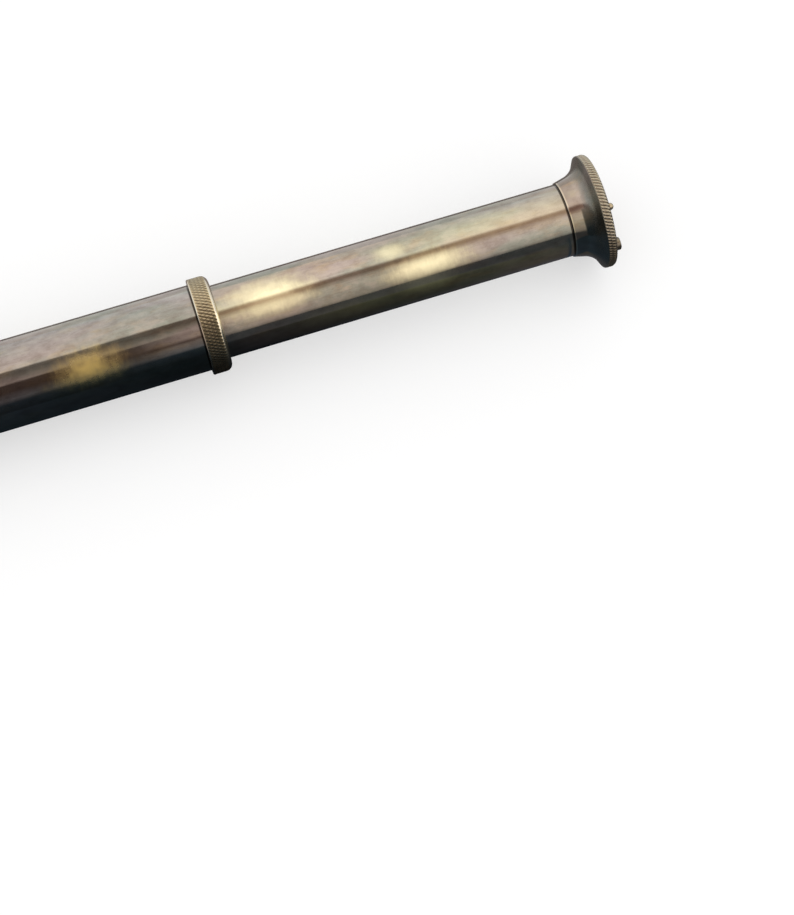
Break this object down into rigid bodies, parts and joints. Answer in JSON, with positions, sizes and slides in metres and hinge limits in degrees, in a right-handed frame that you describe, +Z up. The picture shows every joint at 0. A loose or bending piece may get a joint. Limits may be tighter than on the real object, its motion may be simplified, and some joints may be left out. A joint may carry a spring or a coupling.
{
  "type": "draw telescope",
  "caption": "Hand-held draw telescope: nested sliding brass draws with knurled collars, a bell-mouthed eyepiece with a swivelling dust shutter, and a pull-off objective cap.",
  "frame": {"origin": "on the optical axis, at the middle of the plain barrel tube", "axes": "+X along the optical axis towards the eye, +Z up when the telescope lies level"},
  "size_m": [0.4964, 0.037, 0.037],
  "materials": {
    "patina_brass": "antiqued brown-grey patina, brushed lengthwise, buffed through to yellow in patches",
    "knurled_brass": "diamond-knurled, dark in the grooves and worn bright on the points",
    "bright_brass": "turned and left bright",
    "blackened_brass": "matt black inside surfaces",
    "lens_glass": "polished clear glass"
  },
  "bodies": {
    "barrel": {"barrel_tube": "patina_brass", "barrel_collar": "knurled_brass", "barrel_spring_bush": "bright_brass", "objective_cell": "knurled_brass", "crown_lens": "lens_glass", "flint_lens": "lens_glass", "lens_spacer_ring": "blackened_brass", "objective_retaining_ring": "blackened_brass"},
    "cap": {"objective_cap": "patina_brass"},
    "draw_1": {"draw_1_tube": "patina_brass", "draw_1_collar": "knurled_brass", "draw_1_spring_bush": "bright_brass", "draw_1_stop_ring": "bright_brass"},
    "draw_2": {"draw_2_tube": "patina_brass", "draw_2_collar": "knurled_brass", "draw_2_spring_bush": "bright_brass", "draw_2_stop_ring": "bright_brass"},
    "draw_3": {"draw_3_tube": "patina_brass", "draw_3_stop_ring": "bright_brass", "erector_tube": "blackened_brass", "erector_front_lens": "lens_glass", "erector_rear_lens": "lens_glass", "erector_stop": "blackened_brass", "erector_retaining_rings": "bright_brass", "eyepiece_bell": "patina_brass", "eyepiece_tube": "blackened_brass", "field_lens": "lens_glass", "field_lens_ring": "bright_brass", "field_stop": "blackened_brass", "eye_lens": "lens_glass", "eye_lens_cell": "blackened_brass", "eye_plate": "patina_brass", "shutter_pivot_screw": "bright_brass"},
    "shutter": {"eye_shutter": "patina_brass", "shutter_knob": "bright_brass"}
  },
  "joints": [
    {"name": "cap_pull", "type": "slide", "parent": "barrel", "child": "cap", "axis": [-1, 0, 0], "range_m": [0, 0.03]},
    {"name": "draw_1_slide", "type": "slide", "parent": "barrel", "child": "draw_1", "axis": [1, 0, 0], "range_m": [-0.104, 0]},
    {"name": "draw_2_slide", "type": "slide", "parent": "draw_1", "child": "draw_2", "axis": [1, 0, 0], "range_m": [-0.106, 0]},
    {"name": "draw_3_slide", "type": "slide", "parent": "draw_2", "child": "draw_3", "axis": [1, 0, 0], "range_m": [-0.1068, 0]},
    {"name": "shutter_swing", "type": "hinge", "parent": "draw_3", "child": "shutter", "pos_m": [0.4121, -0.01139, -0.0016], "axis": [1, 0, 0], "range_deg": [0, 62]}
  ]
}
